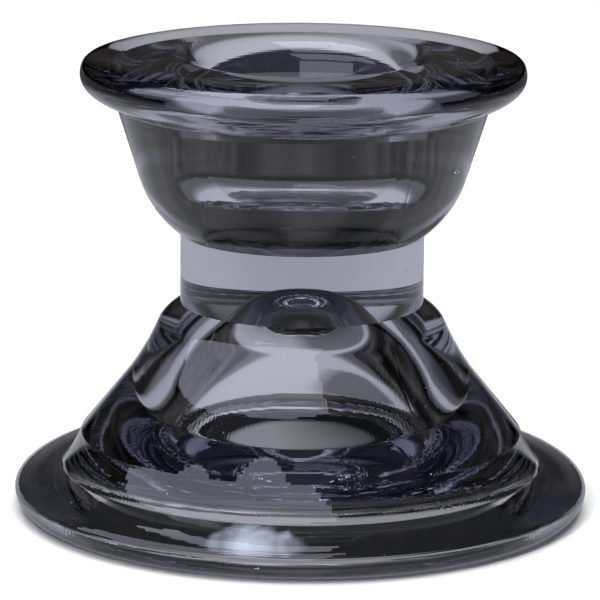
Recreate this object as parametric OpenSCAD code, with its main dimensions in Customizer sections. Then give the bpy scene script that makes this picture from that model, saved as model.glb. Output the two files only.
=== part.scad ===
// Squat pressed-glass candlestick for one dinner candle.
// Three solid glass pieces, fused end to end while hot: a hollow flared
// foot, a plain round stem and a thick-walled cup with a rolled rim.
// All pieces are turned about Z; the foot stands on the plane z = 0.

/* [Foot] */
// Widest radius of the foot
foot_r = 37.1; // [36:0.1:40]
// Height at which the foot is widest
foot_wide_z = 2.3; // [1.5:0.1:3]
// Radius where the bead of the foot meets the cove above it
cove_r = 31; // [30:0.1:32]
// Height of the top of the bead
bead_top_z = 5.4; // [4.8:0.1:6]
// Radius of the raised ring above the cove
ring_r = 28.5; // [27.5:0.1:29.5]
// Height of the raised ring above the cove
ring_z = 9.7; // [9:0.1:10.5]
// Radius where the lower cone gives way to the bell
bell_r = 23; // [22.5:0.1:24]
// Height where the lower cone gives way to the bell
bell_z = 16.5; // [15.5:0.1:17]
// Radius at the start of the rounded shoulder
shoulder_r = 18.6; // [18:0.1:19]
// Height at the start of the rounded shoulder
shoulder_z = 23.9; // [23.5:0.1:24.3]

/* [Hollow under the foot] */
// Inner radius of the flat ring that the foot stands on
seat_in_r = 31.5; // [31:0.1:32.5]
// Outer radius of the flat ring that the foot stands on
seat_out_r = 35.2; // [34.6:0.1:35.6]
// Radius of the step inside the hollow
step_r = 16.3; // [15.5:0.1:17.5]
// Height of the step inside the hollow
step_z = 9.6; // [9:0.1:10.2]
// Radius of the dome where it leaves the foot and enters the stem
dome_r = 5.2; // [4.8:0.1:6]
// Height of the top of the dome
dome_z = 29.4; // [28.5:0.1:30]

/* [Stem] */
// Radius of the stem
stem_r = 15.7; // [15:0.1:16]
// Height of the joint between foot and stem
stem_low_z = 26.7; // [26.4:0.1:27]
// Height of the joint between stem and cup
stem_top_z = 35.8; // [34.5:0.1:36]

/* [Cup] */
// Radius at the top of the rounded bottom of the bowl
bowl_r = 20.9; // [20.5:0.1:21.3]
// Height at the top of the rounded bottom of the bowl
bowl_z = 42.9; // [42.2:0.1:43.5]
// Radius of the bowl where it meets the underside of the rim
neck_r = 23.9; // [23.4:0.1:24.2]
// Height of the bowl where it meets the underside of the rim
neck_z = 52.4; // [52:0.1:52.6]
// Widest radius of the rim
rim_r = 28.5; // [28:0.1:29]
// Height at which the rim is widest
rim_wide_z = 56.4; // [56:0.1:56.8]
// Radius of the level crown on the top of the rim
crown_r = 22.8; // [22:0.1:23.5]
// Height of the top of the rim
rim_top_z = 58.95; // [58.7:0.05:59.2]

/* [Candle socket] */
// Radius of the straight bottom part of the socket
bore_r = 11.2; // [11.1:0.05:11.3]
// Height of the floor of the socket
floor_z = 42.5; // [42:0.1:43.5]
// How far in the wall narrows as it rounds into the floor
narrow_r = 2; // [1:0.1:3.5]
// Height over which the wall rounds into the floor
narrow_h = 5; // [3:0.1:5.5]
// Height of the top of the straight part of the socket
bore_top_z = 51.5; // [50.5:0.1:52.5]
// Radius of the top of the tapered part of the socket
mouth_r = 12.05; // [11.8:0.05:12.3]
// Radius at which the rounded lip leaves the top of the rim
lip_r = 17.2; // [16.4:0.1:18]
// Height of the rounded lip
lip_h = 2.8; // [2.2:0.1:3.2]

/* [Hidden] */
$fn = 120;
GLASS = [0.36, 0.37, 0.44, 0.75];
ARC_STEPS = 10;   // straight steps along each curve of an outline
LIP_DIP = 0.25;   // how far the top of the rim dips towards the socket

// Points along an ellipse about c, from angle a0 to angle a1.
function oval(c, rx, ry, a0, a1, steps = ARC_STEPS) =
    [for (i = [0:steps]) let (a = a0 + (a1 - a0) * i / steps)
        [c[0] + rx * cos(a), c[1] + ry * sin(a)]];

// Points from p to q along a curve whose control point is k.
function bend(p, k, q, steps = ARC_STEPS) =
    [for (i = [0:steps]) let (t = i / steps)
        (1 - t) * (1 - t) * p + 2 * t * (1 - t) * k + t * t * q];

// Corner at which the line through p at angle a meets the line through q at angle b.
function meet(p, a, q, b) =
    let (t = ((q[0] - p[0]) * sin(b) - (q[1] - p[1]) * cos(b)) / sin(b - a))
        [p[0] + t * cos(a), p[1] + t * sin(a)];

joint_low = [stem_r, stem_low_z];
shoulder = [shoulder_r, shoulder_z];
bell = [bell_r, bell_z];
ring = [ring_r, ring_z];
cove = [cove_r, bead_top_z];
cone_slope = atan2(ring_z - bell_z, ring_r - bell_r);
bell_slope = -66;       // slope of the bell where the shoulder begins
shoulder_slope = -30;   // slope of the shoulder where the stem begins
cove_slope = -50;       // slope at the foot of the cove
ring_slope = -72;       // slope just under the raised ring

// Outline of the foot from the stem down to the ring that it stands on.
foot_outline = concat(
    bend(joint_low, meet(joint_low, shoulder_slope, shoulder, bell_slope), shoulder),
    bend(shoulder, meet(shoulder, bell_slope, bell, cone_slope), bell),
    bend(ring, meet(ring, ring_slope, cove, cove_slope), cove),
    oval([cove_r, foot_wide_z], foot_r - cove_r, bead_top_z - foot_wide_z, 90, 0),
    oval([seat_out_r, foot_wide_z], foot_r - seat_out_r, foot_wide_z, 0, -90));

seat_in = [seat_in_r, 0];
step_edge = [step_r, step_z];
dome_edge = [dome_r, stem_low_z];
flare = [28, 7.5];      // corner that the flare of the hollow bends round
dome_side_slope = 108;  // slope of the hollow just above the step
dome_top_slope = 122;   // slope of the hollow where it enters the stem

// Outline of the hollow from the ring at the base up to the stem.
hollow_outline = concat(
    bend(seat_in, flare, step_edge),
    bend(step_edge, meet(step_edge, dome_side_slope, dome_edge, dome_top_slope), dome_edge));

neck = [neck_r, neck_z];
rim_under = [neck_r + 1.9, neck_z + 0.9];
rim_edge = [rim_r, rim_wide_z];
rim_brow = [rim_r - 1.3, rim_top_z - 0.55];
crown = [crown_r, rim_top_z];
brow_slope = 165;       // slope of the rim's top where its edge begins
under_slope = atan2(rim_under[1] - neck_z, rim_under[0] - neck_r);
bowl_bottom_slope = 36;
bowl_side_slope = atan2(neck_z - bowl_z, neck_r - bowl_r);
bowl = [bowl_r, bowl_z];
joint_top = [stem_r, stem_top_z];

// Outline of the cup from the stem out over the rim and down the socket's lip.
cup_outline = concat(
    [[0, stem_top_z]],
    bend(joint_top, meet(joint_top, bowl_bottom_slope, bowl, bowl_side_slope), bowl),
    [neck],
    bend(rim_under, meet(rim_under, under_slope, rim_edge, 90), rim_edge),
    bend(rim_edge, meet(rim_edge, 90, rim_brow, brow_slope), rim_brow),
    bend(rim_brow, meet(rim_brow, brow_slope, crown, 180), crown),
    oval([lip_r, rim_top_z - LIP_DIP - lip_h], lip_r - mouth_r, lip_h, 90, 180));

module foot() {
    color(GLASS)
        rotate_extrude()
            polygon(concat(foot_outline, hollow_outline));
}

module stem() {
    color(GLASS)
        rotate_extrude()
            polygon(concat(
                [joint_low, [stem_r, stem_top_z], [0, stem_top_z]],
                bend([0, dome_z], meet(dome_edge, dome_top_slope, [0, dome_z], 0), dome_edge)));
}

module cup() {
    color(GLASS)
        difference() {
            rotate_extrude()
                polygon(concat(cup_outline, [[0, rim_top_z - LIP_DIP - lip_h]]));
            socket();
        }
}

// The space that the candle stands in.
module socket() {
    straight_z = floor_z + narrow_h;
    translate([0, 0, straight_z])
        cylinder(r = bore_r, h = bore_top_z - straight_z);
    rotate_extrude()
        polygon(concat(
            [[0, floor_z]],
            oval([bore_r - narrow_r, straight_z], narrow_r, narrow_h, -90, 0),
            [[0, straight_z]]));
    translate([0, 0, bore_top_z])
        cylinder(r1 = bore_r, r2 = mouth_r, h = rim_top_z - LIP_DIP - lip_h - bore_top_z);
}

cup();
stem();
foot();
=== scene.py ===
import math

import bpy
from mathutils import Matrix, Vector


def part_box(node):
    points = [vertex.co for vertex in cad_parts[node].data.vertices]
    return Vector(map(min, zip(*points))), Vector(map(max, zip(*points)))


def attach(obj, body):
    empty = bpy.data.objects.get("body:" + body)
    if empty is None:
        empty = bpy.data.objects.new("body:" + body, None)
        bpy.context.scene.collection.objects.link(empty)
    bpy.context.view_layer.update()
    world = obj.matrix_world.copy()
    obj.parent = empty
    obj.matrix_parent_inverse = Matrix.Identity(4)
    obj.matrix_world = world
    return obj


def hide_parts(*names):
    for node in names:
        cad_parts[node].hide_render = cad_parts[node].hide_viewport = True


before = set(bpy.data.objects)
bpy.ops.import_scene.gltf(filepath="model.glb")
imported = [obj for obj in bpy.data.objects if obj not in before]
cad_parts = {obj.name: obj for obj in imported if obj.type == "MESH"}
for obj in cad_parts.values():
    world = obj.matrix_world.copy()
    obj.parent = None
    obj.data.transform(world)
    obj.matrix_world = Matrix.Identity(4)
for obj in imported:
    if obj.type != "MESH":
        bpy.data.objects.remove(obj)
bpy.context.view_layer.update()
scene = bpy.context.scene

# ---------------------------------------------------------------------------
# Camera: it stands half a metre in front of the candlestick, a little above
# the rim, and looks slightly down with a long lens.
# ---------------------------------------------------------------------------
CAMERA_AWAY = 0.516
CAMERA_HIGH = 0.14583
AIM_HIGH = 0.0267
LENS = 246.3
CAMERA_ROLL = 0.45          # degrees

camera_data = bpy.data.cameras.new("camera")
camera_data.lens = LENS
camera_data.sensor_width = 36
camera_data.clip_start = 0.01
camera_data.shift_x = -0.003
camera = bpy.data.objects.new("camera", camera_data)
scene.collection.objects.link(camera)
camera.location = (0, -CAMERA_AWAY, CAMERA_HIGH)
look = (Vector((0, 0, AIM_HIGH)) - camera.location).to_track_quat("-Z", "Y")
roll = Matrix.Rotation(math.radians(CAMERA_ROLL), 4, "Z")
camera.rotation_euler = (look.to_matrix().to_4x4() @ roll).to_euler()
scene.camera = camera

# ---------------------------------------------------------------------------
# Foot: a thick flared foot of smoke-grey glass, pressed in a mould with a
# plunger that left it hollow, then fire polished. It stands on a flat ring.
# ---------------------------------------------------------------------------
MM = 0.001


def oval(centre, rx, ry, start, end, steps=24):
    """Points along an ellipse, from one angle to another."""
    points = []
    for i in range(steps + 1):
        a = math.radians(start + (end - start) * i / steps)
        points.append((centre[0] + rx * math.cos(a), centre[1] + ry * math.sin(a)))
    return points


def bend(p, k, q, steps=24):
    """Points from p to q along a curve whose control point is k."""
    points = []
    for i in range(steps + 1):
        t = i / steps
        u = 1 - t
        points.append(tuple(u * u * a + 2 * t * u * b + t * t * c for a, b, c in zip(p, k, q)))
    return points


def meet(p, slope_p, q, slope_q):
    """Corner of the line through p at one slope and the line through q at another."""
    a, b = math.radians(slope_p), math.radians(slope_q)
    t = ((q[0] - p[0]) * math.sin(b) - (q[1] - p[1]) * math.cos(b)) / math.sin(b - a)
    return (p[0] + t * math.cos(a), p[1] + t * math.sin(a))


def eased(points, joints=(), step=0.42, ease=0.3, crease=12):
    """The outline in even steps, with each crease rounded by the fire polish.
    Corners at the heights in joints stay crisp: another piece is fused on there."""
    even = [points[0]]
    for p in points[1:]:
        run = math.dist(even[-1], p)
        if run < 1e-4:
            continue
        start, parts = even[-1], max(1, math.ceil(run / step))
        for i in range(1, parts + 1):
            t = i / parts
            even.append((start[0] + (p[0] - start[0]) * t, start[1] + (p[1] - start[1]) * t))
    soft = [even[0]]
    for a, b, c in zip(even, even[1:], even[2:]):
        u, v = Vector(b) - Vector(a), Vector(c) - Vector(b)
        at_joint = any(abs(b[1] - j) < 0.02 for j in joints)
        if math.degrees(u.angle(v)) > crease and not at_joint:
            near = tuple(Vector(b) - u.normalized() * min(ease, u.length * 0.45))
            far = tuple(Vector(b) + v.normalized() * min(ease, v.length * 0.45))
            soft += bend(near, b, far, 5)
        else:
            soft.append(b)
    return soft + [even[-1]]


class Tree:
    """A node tree that is being wired up."""

    def __init__(self, tree):
        self.tree = tree

    def node(self, kind, settings=None, sockets=None, out=0):
        """Adds a node, sets its settings, then its sockets, and returns one output."""
        made = self.tree.nodes.new(kind)
        for name, value in (settings or {}).items():
            if name == "stops":
                bands = made.color_ramp.elements
                while len(bands) < len(value):
                    bands.new(1.0)
                for band, (place, colour) in zip(bands, value):
                    band.position, band.color = place, colour
            else:
                setattr(made, name, value)
        for name, value in (sockets or {}).items():
            if isinstance(value, Wire):
                self.tree.links.new(value.socket, made.inputs[name])
            else:
                made.inputs[name].default_value = value
        return Wire(self, made.outputs[out]) if len(made.outputs) else None


class Wire:
    """An output socket that Python's operators work on, one Math node each."""

    def __init__(self, tree, socket):
        self.tree, self.socket = tree, socket

    def maths(self, operation, *values):
        return self.tree.node(
            "ShaderNodeMath", {"operation": operation}, dict(enumerate(values)))

    def other(self, name):
        """Another output of the same node."""
        return Wire(self.tree, self.socket.node.outputs[name])

    def __add__(self, b):
        return self.maths("ADD", self, b)

    def __radd__(self, b):
        return self.maths("ADD", b, self)

    def __sub__(self, b):
        return self.maths("SUBTRACT", self, b)

    def __rsub__(self, b):
        return self.maths("SUBTRACT", b, self)

    def __mul__(self, b):
        return self.maths("MULTIPLY", self, b)

    def __rmul__(self, b):
        return self.maths("MULTIPLY", b, self)

    def __truediv__(self, b):
        return self.maths("DIVIDE", self, b)

    def __lt__(self, b):
        return self.maths("LESS_THAN", self, b)

    def __gt__(self, b):
        return self.maths("GREATER_THAN", self, b)


WELD, AT_JOINT = 1e-7, 1e-5     # metres
LEVEL = 0.99                    # how nearly a face at a joint points up or down


def lathe_tree():
    """Geometry Nodes that turn an outline, drawn in X and Z, about the Z axis."""
    tree = bpy.data.node_groups.new("turned_glass", "GeometryNodeTree")
    face = tree.interface
    face.new_socket("Outline", in_out="INPUT", socket_type="NodeSocketGeometry")
    for name, kind in (
        ("Segments", "NodeSocketInt"),
        ("Outline points", "NodeSocketInt"),
        ("Ripple", "NodeSocketFloat"),
        ("Ripple scale", "NodeSocketFloat"),
        ("Seed", "NodeSocketFloat"),
        ("Lower joint", "NodeSocketFloat"),
        ("Upper joint", "NodeSocketFloat"),
        ("Crisp angle", "NodeSocketFloat"),
        ("Glass", "NodeSocketMaterial"),
    ):
        face.new_socket(name, in_out="INPUT", socket_type=kind)
    face.new_socket("Piece", in_out="OUTPUT", socket_type="NodeSocketGeometry")
    t = Tree(tree)
    given = t.node("NodeGroupInput")
    segments, points = given.other("Segments"), given.other("Outline points")

    sheet = t.node("GeometryNodeMeshGrid", None, {
        "Size X": 1.0, "Size Y": 1.0, "Vertices X": segments + 1, "Vertices Y": points})
    index = t.node("GeometryNodeInputIndex")
    spoke = (index / points).maths("FLOOR", index / points)
    step = index - spoke * points
    angle = spoke * math.tau / segments
    place = t.node("GeometryNodeSampleIndex", {"data_type": "FLOAT_VECTOR"}, {
        "Geometry": given.other("Outline"), "Value": t.node("GeometryNodeInputPosition"),
        "Index": step})
    split = t.node("ShaderNodeSeparateXYZ", None, {"Vector": place})
    radius, height = split, split.other("Z")

    def ring_point(r):
        return t.node("ShaderNodeCombineXYZ", None, {
            "X": r * angle.maths("COSINE", angle), "Y": r * angle.maths("SINE", angle),
            "Z": height})

    ripple = t.node("ShaderNodeTexNoise", {"noise_dimensions": "4D"}, {
        "Vector": ring_point(radius), "W": given.other("Seed"),
        "Scale": given.other("Ripple scale"), "Detail": 1.0})
    pulled_in = radius * (1 - ripple * given.other("Ripple"))
    turned = t.node("GeometryNodeSetPosition", None, {
        "Geometry": sheet, "Position": ring_point(pulled_in)})
    closed = t.node("GeometryNodeMergeByDistance", None, {
        "Geometry": turned, "Distance": WELD})

    middle = t.node("ShaderNodeSeparateXYZ", None, {
        "Vector": t.node("GeometryNodeInputPosition")}).other("Z")
    facing = t.node("ShaderNodeSeparateXYZ", None, {
        "Vector": t.node("GeometryNodeInputNormal")}).other("Z")
    low, high = middle - given.other("Lower joint"), middle - given.other("Upper joint")
    near = (low.maths("ABSOLUTE", low) < AT_JOINT) + (high.maths("ABSOLUTE", high) < AT_JOINT)
    fused = (near > 0.5) * (facing.maths("ABSOLUTE", facing) > LEVEL)
    marked = t.node("GeometryNodeStoreNamedAttribute", {
        "data_type": "FLOAT", "domain": "FACE"}, {
        "Geometry": closed, "Name": "fused", "Value": fused})
    smooth = t.node("GeometryNodeSetShadeSmooth", {"domain": "EDGE"}, {
        "Geometry": marked,
        "Shade Smooth": t.node("GeometryNodeInputMeshEdgeAngle") < given.other("Crisp angle")})
    whole = t.node("GeometryNodeRealizeInstances", None, {"Geometry": smooth})
    done = t.node("GeometryNodeSetMaterial", None, {
        "Geometry": whole, "Material": given.other("Glass")})
    t.node("NodeGroupOutput", None, {"Piece": done})
    return tree


def turn(name, outline, sizes):
    """A finished glass piece: the outline turned by the tree, as a plain mesh."""
    drawn = bpy.data.meshes.new(name + "_outline")
    drawn.from_pydata([(r * MM, 0, z * MM) for r, z in outline], [], [])
    holder = bpy.data.objects.new(name + "_outline", drawn)
    scene.collection.objects.link(holder)
    modifier = holder.modifiers.new("turned", "NODES")
    modifier.node_group = LATHE
    for item in LATHE.interface.items_tree:
        if item.in_out == "INPUT" and item.name in sizes:
            modifier[item.identifier] = sizes[item.name]
    graph = bpy.context.evaluated_depsgraph_get()
    mesh = bpy.data.meshes.new_from_object(holder.evaluated_get(graph))
    mesh.name = name
    holder.modifiers.remove(modifier)
    bpy.data.objects.remove(holder)
    piece = bpy.data.objects.new(name, mesh)
    scene.collection.objects.link(piece)
    return piece


def smoke_glass():
    """Clear grey glass: it only darkens with the thickness that light crosses."""
    glass = bpy.data.materials.new("smoke_glass")
    glass.use_nodes = True
    glass.node_tree.nodes.clear()
    t = Tree(glass.node_tree)
    place = t.node("ShaderNodeTexCoord", None, None, "Object")
    spot = t.node("ShaderNodeSeparateXYZ", None, {"Vector": place})
    x, y, z = spot, spot.other("Y"), spot.other("Z")

    # Slow waves that the mould and the fire polish leave in the skin.
    waves = t.node("ShaderNodeTexNoise", None, {
        "Vector": place, "Scale": WAVE_SCALE, "Detail": 0.0})
    # Upright streaks where the glass was chilled by the mould's wall.
    upright = t.node("ShaderNodeMapping", None, {
        "Vector": place, "Scale": (1.0, 1.0, STREAK_SQUASH)})
    streaks = t.node("ShaderNodeTexNoise", None, {
        "Vector": upright, "Scale": STREAK_SCALE, "Detail": 1.0})
    # The faint seam of the two-part mould, a little wavy, on the outer skin alone.
    wander = t.node("ShaderNodeTexNoise", None, {
        "Vector": place, "Scale": WANDER_SCALE, "Detail": 1.0})
    straight = x * math.cos(SEAM_TURN) + y * math.sin(SEAM_TURN)
    across = straight + (wander - 0.5) * WANDER_REACH
    far = across.maths("ABSOLUTE", across)
    reach = x * x + y * y
    outer = (reach > SEAM_FROM_R * SEAM_FROM_R) * (z < SEAM_BELOW)
    seam = (1 - far.maths("SMOOTH_MIN", far / SEAM_WIDTH, 1.0, SEAM_SOFTNESS)) * outer
    relief = waves * WAVE_DEPTH + streaks * STREAK_DEPTH + seam * SEAM_HEIGHT
    skin = t.node("ShaderNodeBump", None, {
        "Strength": 1.0, "Distance": 1.0, "Height": relief}, "Normal")

    # Specks of dust and tiny open seeds, and the ring worn where it stands.
    cells = t.node("ShaderNodeTexVoronoi", None, {
        "Vector": place, "Scale": SPECK_SCALE, "Randomness": 1.0}, "Distance")
    pick = t.node("ShaderNodeTexNoise", None, {
        "Vector": place, "Scale": CLUSTER_SCALE, "Detail": 0.0})
    specks = (cells < SPECK_SIZE) * (pick > CLUSTER_FROM)
    grit = t.node("ShaderNodeTexNoise", None, {
        "Vector": place, "Scale": GRIT_SCALE, "Detail": 3.0})
    worn = (z < WEAR_HEIGHT) * (grit * 0.5 + 0.1)
    dull = specks * SPECK_ROUGH
    roughness = dull.maths("MAXIMUM", dull, worn)

    body = t.node("ShaderNodeBsdfPrincipled", None, {
        "Base Color": (1, 1, 1, 1), "Roughness": roughness, "IOR": GLASS_IOR,
        "Transmission Weight": 1.0, "Normal": skin})
    open_joint = t.node("ShaderNodeBsdfTransparent")
    fused = t.node("ShaderNodeAttribute", {"attribute_name": "fused"}, None, "Fac")
    surface = t.node("ShaderNodeMixShader", None, {0: fused, 1: body, 2: open_joint})
    depth = t.node("ShaderNodeVolumeAbsorption", None, {
        "Color": GLASS_TINT, "Density": GLASS_DEPTH})
    t.node("ShaderNodeOutputMaterial", None, {"Surface": surface, "Volume": depth})
    return glass


GLASS_TINT = (0.50, 0.51, 0.62, 1)
GLASS_DEPTH = 40            # per metre
GLASS_IOR = 1.52
# Depths, widths and heights in metres; noise scales per metre.
WAVE_SCALE = 70.0
WAVE_DEPTH = 0.00002
STREAK_SCALE = 260.0
STREAK_SQUASH = 0.12
STREAK_DEPTH = 0.0000008
SEAM_TURN = math.radians(38)
SEAM_WIDTH = 0.0004
SEAM_HEIGHT = 0.00001
SEAM_SOFTNESS = 0.3
SEAM_FROM_R = 0.0175
SEAM_BELOW = 0.050
WANDER_SCALE = 240.0
WANDER_REACH = 0.0016
SPECK_SCALE = 330.0
SPECK_SIZE = 0.05
SPECK_ROUGH = 0.5
CLUSTER_SCALE = 150.0
CLUSTER_FROM = 0.56
GRIT_SCALE = 2600.0
WEAR_HEIGHT = 0.00006

foot_low, foot_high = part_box("foot")
FOOT_R = foot_high.x / MM
FOOT_TOP = foot_high.z / MM
STEM_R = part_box("stem")[1].x / MM
FOOT_WIDE_Z = 2.3
COVE = (31.0, 5.4)
RING = (28.5, 9.7)
BELL = (23.0, 16.5)
SHOULDER = (18.6, 23.9)
SEAT_IN_R, SEAT_OUT_R = 31.5, 35.2
FLARE = (28.0, 7.5)
STEP = (16.3, 9.6)
DOME_R = 5.2
SIDE_SLOPE, TIP_SLOPE = 108, 122
CONE_SLOPE = math.degrees(math.atan2(RING[1] - BELL[1], RING[0] - BELL[0]))
SHOULDER_SLOPE, JOINT_SLOPE = -66, -30
RING_SLOPE, COVE_SLOPE = -72, -50
CONE_STEPS, FLARE_STEPS = 48, 60

joint_edge = (STEM_R, FOOT_TOP)
dome_edge = (DOME_R, FOOT_TOP)
foot_outline = eased(
    bend(dome_edge, meet(STEP, SIDE_SLOPE, dome_edge, TIP_SLOPE), STEP, CONE_STEPS)
    + bend(STEP, FLARE, (SEAT_IN_R, 0), FLARE_STEPS)
    + [(SEAT_OUT_R, 0)]
    + oval((SEAT_OUT_R, FOOT_WIDE_Z), FOOT_R - SEAT_OUT_R, FOOT_WIDE_Z, -90, 0)
    + oval((COVE[0], FOOT_WIDE_Z), FOOT_R - COVE[0], COVE[1] - FOOT_WIDE_Z, 0, 90)
    + bend(COVE, meet(RING, RING_SLOPE, COVE, COVE_SLOPE), RING)
    + bend(BELL, meet(SHOULDER, SHOULDER_SLOPE, BELL, CONE_SLOPE), SHOULDER)
    + bend(SHOULDER, meet(joint_edge, JOINT_SLOPE, SHOULDER, SHOULDER_SLOPE), joint_edge)
    + [dome_edge],
    joints=[FOOT_TOP])

LATHE = lathe_tree()
GLASS = smoke_glass()
ROUND = {"Segments": 288, "Ripple": 0.0008, "Ripple scale": 70.0, "Seed": 3.0,
         "Lower joint": FOOT_TOP * MM, "Upper joint": -1.0,
         "Crisp angle": math.radians(35), "Glass": GLASS}

foot = turn("foot_glass_piece", foot_outline, {**ROUND, "Outline points": len(foot_outline)})
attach(foot, "root")
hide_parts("foot")

# ---------------------------------------------------------------------------
# Stem: a plain solid drum of the same glass, fused to the foot and the cup
# while hot. The tip of the hollow runs up into its underside as a dimple.
# ---------------------------------------------------------------------------
STEM_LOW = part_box("stem")[0].z / MM
STEM_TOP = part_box("stem")[1].z / MM
DOME_Z = 29.4
FUSE_GAP = 0.006

stem_base = STEM_LOW + FUSE_GAP
stem_head = STEM_TOP - FUSE_GAP
tip = (0, DOME_Z)
dimple_edge = (DOME_R, stem_base)
stem_outline = eased(
    bend(tip, meet(dimple_edge, TIP_SLOPE, tip, 0), dimple_edge)
    + [(STEM_R, stem_base), (STEM_R, stem_head), (0, stem_head)],
    joints=[stem_base, stem_head])
stem = turn("stem_glass_piece", stem_outline, {
    **ROUND, "Outline points": len(stem_outline),
    "Lower joint": stem_base * MM, "Upper joint": stem_head * MM})
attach(stem, "root")
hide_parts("stem")

# ---------------------------------------------------------------------------
# Cup: a thick-walled bowl of the same glass with a rolled rim, whose crown
# dips to a rounded lip. The candle stands in the tapered socket.
# ---------------------------------------------------------------------------
RIM_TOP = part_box("cup")[1].z / MM
RIM_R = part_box("cup")[1].x / MM
RIM_WIDE_Z = 56.4
CROWN_R = 22.8
NECK = (23.9, 52.4)
BOWL = (20.9, 42.9)
LIP_R, LIP_H, LIP_DIP = 17.2, 2.8, 0.25
MOUTH_R, BORE_R, BORE_TOP = 12.05, 11.2, 51.5
FLOOR_Z, NARROW_R, NARROW_H = 42.5, 2.0, 5.0
UNDER_OUT, UNDER_UP = 1.9, 0.9
BROW_IN, BROW_DOWN = 1.3, 0.55
BROW_SLOPE, BOWL_FOOT_SLOPE = 165, 36

rim_under = (NECK[0] + UNDER_OUT, NECK[1] + UNDER_UP)
rim_edge = (RIM_R, RIM_WIDE_Z)
rim_brow = (RIM_R - BROW_IN, RIM_TOP - BROW_DOWN)
crown = (CROWN_R, RIM_TOP)
under_slope = math.degrees(math.atan2(UNDER_UP, UNDER_OUT))
bowl_slope = math.degrees(math.atan2(NECK[1] - BOWL[1], NECK[0] - BOWL[0]))
bowl_foot = (STEM_R, STEM_TOP)
cup_outline = eased(
    [(0, STEM_TOP)]
    + bend(bowl_foot, meet(bowl_foot, BOWL_FOOT_SLOPE, BOWL, bowl_slope), BOWL)
    + [NECK]
    + bend(rim_under, meet(rim_under, under_slope, rim_edge, 90), rim_edge)
    + bend(rim_edge, meet(rim_edge, 90, rim_brow, BROW_SLOPE), rim_brow)
    + bend(rim_brow, meet(rim_brow, BROW_SLOPE, crown, 180), crown)
    + oval((LIP_R, RIM_TOP - LIP_DIP - LIP_H), LIP_R - MOUTH_R, LIP_H, 90, 180)
    + [(BORE_R, BORE_TOP)]
    + oval((BORE_R - NARROW_R, FLOOR_Z + NARROW_H), NARROW_R, NARROW_H, 0, -90)
    + [(0, FLOOR_Z)],
    joints=[STEM_TOP])
cup = turn("cup_glass_piece", cup_outline, {
    **ROUND, "Outline points": len(cup_outline), "Lower joint": STEM_TOP * MM})
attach(cup, "root")
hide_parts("cup")

# ---------------------------------------------------------------------------
# Studio: a pale floor under a broad soft light. The glass also sees a glowing
# grey card lying on the floor, with painted shade where the candlestick stands
# on it, a painted shadow and a painted pool of light about it, and a few cards
# round about; the floor and the camera do not see them.
# ---------------------------------------------------------------------------


def paint(name, colour, glow=0.0):
    """A matt paint, or a card that glows evenly."""
    material = bpy.data.materials.new(name)
    material.use_nodes = True
    material.node_tree.nodes.clear()
    t = Tree(material.node_tree)
    skin = t.node("ShaderNodeBsdfPrincipled", None, {
        "Base Color": (*colour, 1) if not glow else (0, 0, 0, 1),
        "Roughness": 0.9, "Specular IOR Level": 0.0,
        "Emission Color": (*colour, 1), "Emission Strength": glow})
    t.node("ShaderNodeOutputMaterial", None, {"Surface": skin})
    return material


def panel(name, outline, material, place=(0, 0, 0), towards=None):
    """A flat stage panel; its outline is a list of corners in metres."""
    mesh = bpy.data.meshes.new(name)
    mesh.from_pydata([(x, y, 0) for x, y in outline], [], [range(len(outline))])
    mesh.materials.append(material)
    made = bpy.data.objects.new(name, mesh)
    scene.collection.objects.link(made)
    made.location = place
    if towards is not None:
        made.rotation_euler = (
            Vector(towards) - Vector(place)).to_track_quat("-Z", "Y").to_euler()
    return made


def oblong(width, length):
    x, y = width / 2, length / 2
    return [(-x, -y), (x, -y), (x, y), (-x, y)]


def only_in_glass(made, through=True):
    """The card shows in the glass alone: as a reflection, and through it if asked."""
    made.visible_camera = False
    made.visible_shadow = False
    made.visible_diffuse = False
    made.visible_transmission = through
    return made


FLOOR_WIDE = 3
FLOOR_COLOUR = (0.93, 0.93, 0.93)
FLOOR_Z, CARD_Z = -0.0003, -0.0001
panel("floor", oblong(FLOOR_WIDE, FLOOR_WIDE), paint("pale_floor", FLOOR_COLOUR),
      (0, 0, FLOOR_Z))


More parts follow.
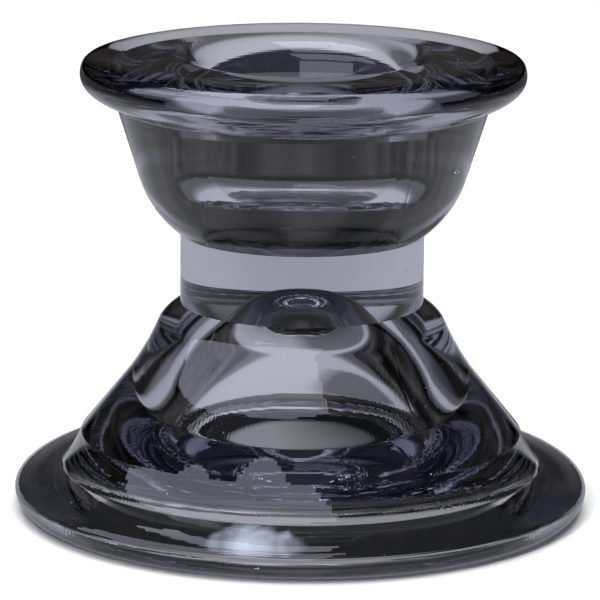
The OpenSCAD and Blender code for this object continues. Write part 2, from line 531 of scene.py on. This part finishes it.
def painted_table_card():
    """The table as the glass sees it, a glowing card: painted shade under the foot and close
    about it, a painted pool of light and a painted shadow.
    """
    material = bpy.data.materials.new("painted_table_card")
    material.use_nodes = True
    material.node_tree.nodes.clear()
    t = Tree(material.node_tree)
    place = t.node("ShaderNodeTexCoord", None, None, "Object")
    reach = t.node("ShaderNodeVectorMath", {"operation": "LENGTH"}, {"Vector": place}, "Value")
    shade = t.node("ShaderNodeValToRGB", {"stops": [
        (r / CARD_REACH, (*(v * tint for tint in CARD_TINT), 1)) for r, v in PAINTED_LIGHT_AND_SHADE_BANDS]},
        {"Fac": reach / CARD_REACH})
    # Painted light: a bright streaky patch under the foot's front, standing in for light that
    # the foot gathers.
    aside = t.node("ShaderNodeMapping", {"vector_type": "TEXTURE"}, {
        "Vector": place, "Location": PATCH_AT, "Scale": PATCH_SIZE})
    far = t.node("ShaderNodeVectorMath", {"operation": "LENGTH"}, {"Vector": aside}, "Value")
    streaks = t.node("ShaderNodeTexNoise", None, {
        "Vector": aside, "Scale": PATCH_GRAIN, "Detail": 4.0, "Distortion": 0.6})
    painted_light_patch = t.node("ShaderNodeValToRGB", {"stops": [
        (0.35, (0, 0, 0, 1)), (0.8, PAINTED_LIGHT_COLOUR)]},
        {"Fac": (PATCH_REACH - far) * PATCH_FADE + (streaks - 0.5) * PATCH_STREAKS})
    # Painted shadow of the candlestick, behind it and to the right.
    behind = t.node("ShaderNodeMapping", {"vector_type": "TEXTURE"}, {
        "Vector": place, "Location": SHADOW_AT, "Rotation": (0, 0, -SHADOW_TURN),
        "Scale": SHADOW_SIZE})
    off = t.node("ShaderNodeVectorMath", {"operation": "LENGTH"}, {"Vector": behind}, "Value")
    outside_painted_shadow = t.node("ShaderNodeMapRange", None, {
        "Value": off, "From Min": SHADOW_CORE, "From Max": SHADOW_END,
        "To Min": SHADOW_LIGHT, "To Max": 1.0})
    # Painted shade: the table in front of the candlestick is darker from here on.
    forward = t.node("ShaderNodeSeparateXYZ", None, {"Vector": place}, "Y")
    front_painted_shade = t.node("ShaderNodeMapRange", None, {
        "Value": forward, "From Min": FRONT_DARK_Y, "From Max": FRONT_LIGHT_Y,
        "To Min": FRONT_LIGHT, "To Max": 1.0})
    table = t.node("ShaderNodeVectorMath", {"operation": "SCALE"}, {
        "Vector": shade, "Scale": outside_painted_shadow * front_painted_shade})
    both = t.node("ShaderNodeMix", {"data_type": "RGBA", "blend_type": "ADD"}, {
        0: 1.0, "A": table, "B": painted_light_patch}, "Result")
    t.node("ShaderNodeOutputMaterial", None, {
        "Surface": t.node("ShaderNodeEmission", None, {"Color": both, "Strength": 1.0})})
    return material


CARD_REACH = 0.3
CARD_TINT = (0.95, 0.97, 1.06)
# Radius in metres, and how light the card is there: painted shade, mid grey under the hollow
# and nearly black under the ring it stands on, then painted light out past the foot, darker
# again far off.
PAINTED_LIGHT_AND_SHADE_BANDS = [(0.0, 0.3), (0.0255, 0.3), (0.0265, 0.015), (0.0335, 0.015), (0.0345, 0.4),
              (0.045, 0.55), (0.070, 0.64), (0.165, 0.62), (0.200, 0.30), (0.290, 0.12)]
# Painted light: the bright streaky patch on the card under the foot's front.
PATCH_AT = (-0.007, -0.030, 0.0)
PATCH_SIZE = (0.011, 0.006, 1.0)
PATCH_GRAIN = 2.4
PATCH_REACH, PATCH_FADE, PATCH_STREAKS = 1.15, 0.75, 0.9
PAINTED_LIGHT_COLOUR = (0.95, 1.05, 1.3, 1)
# Painted shadow of the candlestick on the card.
SHADOW_AT = (0.024, 0.055, 0.0)
SHADOW_TURN = math.radians(24)
SHADOW_SIZE = (0.022, 0.045, 1.0)
SHADOW_CORE, SHADOW_END, SHADOW_LIGHT = 0.8, 1.1, 0.3
# Painted shade on the card in front of the candlestick.
FRONT_DARK_Y, FRONT_LIGHT_Y, FRONT_LIGHT = -0.13, -0.07, 0.3
only_in_glass(panel("painted_table_card", oblong(FLOOR_WIDE, FLOOR_WIDE), painted_table_card(),
                    (0, 0, CARD_Z)))

SKY_COLOUR, SKY_GLOW = (0.85, 0.9, 1.05), 2.6
SKY_WIDE, SKY_LONG = 0.36, 0.6
SKY_X, SKY_Y, SKY_Z = -0.1, 0.1, 0.6
only_in_glass(panel("sky_card", oblong(SKY_WIDE, SKY_LONG),
                    paint("sky_card", SKY_COLOUR, SKY_GLOW),
                    (SKY_X, SKY_Y, SKY_Z), (SKY_X, SKY_Y, 0)), through=False)

# A level card overhead in front; its straight right edge shows down the foot.
FRONT_COLOUR, FRONT_GLOW = (0.86, 0.88, 1.1), 2.4
FRONT_Z = 0.4
FRONT_OUTLINE = [(0.117, -3.0), (0.117, -0.247), (0.0, -0.240), (-0.235, -0.182),
                 (-0.420, -0.035), (-0.7, 0.14), (-2.0, 0.3), (-2.0, -3.0)]
only_in_glass(panel("front_card", FRONT_OUTLINE, paint("front_card", FRONT_COLOUR, FRONT_GLOW),
                    (0, 0, FRONT_Z)), through=False)

# Round about it is dark: a dim band low down, in uneven upright bars, and a
# little even light from high up.
LOW_COLOUR = (0.040, 0.037, 0.034, 1)
HIGH_COLOUR = (0.030, 0.033, 0.045, 1)
HIGH_STRENGTH = 1.2
POST_SCALE, POST_DIM, POST_BRIGHT = 5.0, 0.1, 2.2
world = bpy.data.worlds.new("studio")
world.use_nodes = True
world.node_tree.nodes.clear()
scene.world = world
t = Tree(world.node_tree)
way = t.node("ShaderNodeTexCoord", None, None, "Generated")
up = t.node("ShaderNodeSeparateXYZ", None, {"Vector": way}, "Z")
height = t.node("ShaderNodeValToRGB", {"stops": [
    (0.05, (0, 0, 0, 1)), (0.12, LOW_COLOUR), (0.38, LOW_COLOUR),
    (0.45, (0, 0, 0, 1)), (0.7, HIGH_COLOUR)]}, {"Fac": up})
upright = t.node("ShaderNodeMapping", None, {"Vector": way, "Scale": (1.0, 1.0, 0.1)})
posts = t.node("ShaderNodeTexNoise", None, {
    "Vector": upright, "Scale": POST_SCALE, "Detail": 2.0})
dim = t.node("ShaderNodeMapRange", None, {
    "Value": posts, "From Min": 0.38, "From Max": 0.66,
    "To Min": POST_DIM, "To Max": POST_BRIGHT})
high_up = t.node("ShaderNodeMapRange", None, {
    "Value": up, "From Min": 0.40, "From Max": 0.50, "To Min": 0.0, "To Max": 1.0})
t.node("ShaderNodeOutputWorld", None, {
    "Surface": t.node("ShaderNodeBackground", None, {
        "Color": height, "Strength": dim * (1 - high_up) + high_up * HIGH_STRENGTH})})


def soft_light(name, place, width, watts):
    """A square lamp that faces the candlestick."""
    data = bpy.data.lights.new(name, "AREA")
    data.shape = "SQUARE"
    data.size = width
    data.energy = watts
    made = bpy.data.objects.new(name, data)
    scene.collection.objects.link(made)
    made.location = place
    towards = Vector(LAMP_AIM) - Vector(place)
    made.rotation_euler = towards.to_track_quat("-Z", "Y").to_euler()
    return made


LAMP_AIM = (0, 0, 0.02)
OVERHEAD_AT, OVERHEAD_WIDE, OVERHEAD_WATTS = (0, 0, 1.2), 1.2, 22
SPARK_AT, SPARK_WIDE, SPARK_WATTS = (-0.31, -0.71, 0.675), 0.02, 2.5
overhead = soft_light("overhead", OVERHEAD_AT, OVERHEAD_WIDE, OVERHEAD_WATTS)
overhead.visible_glossy = False
overhead.visible_transmission = False
soft_light("spark", SPARK_AT, SPARK_WIDE, SPARK_WATTS)

scene.view_settings.view_transform = "Standard"
scene.cycles.max_bounces = 24
scene.cycles.transmission_bounces = 24
scene.cycles.glossy_bounces = 8
scene.cycles.transparent_max_bounces = 48
scene.cycles.use_denoising = True
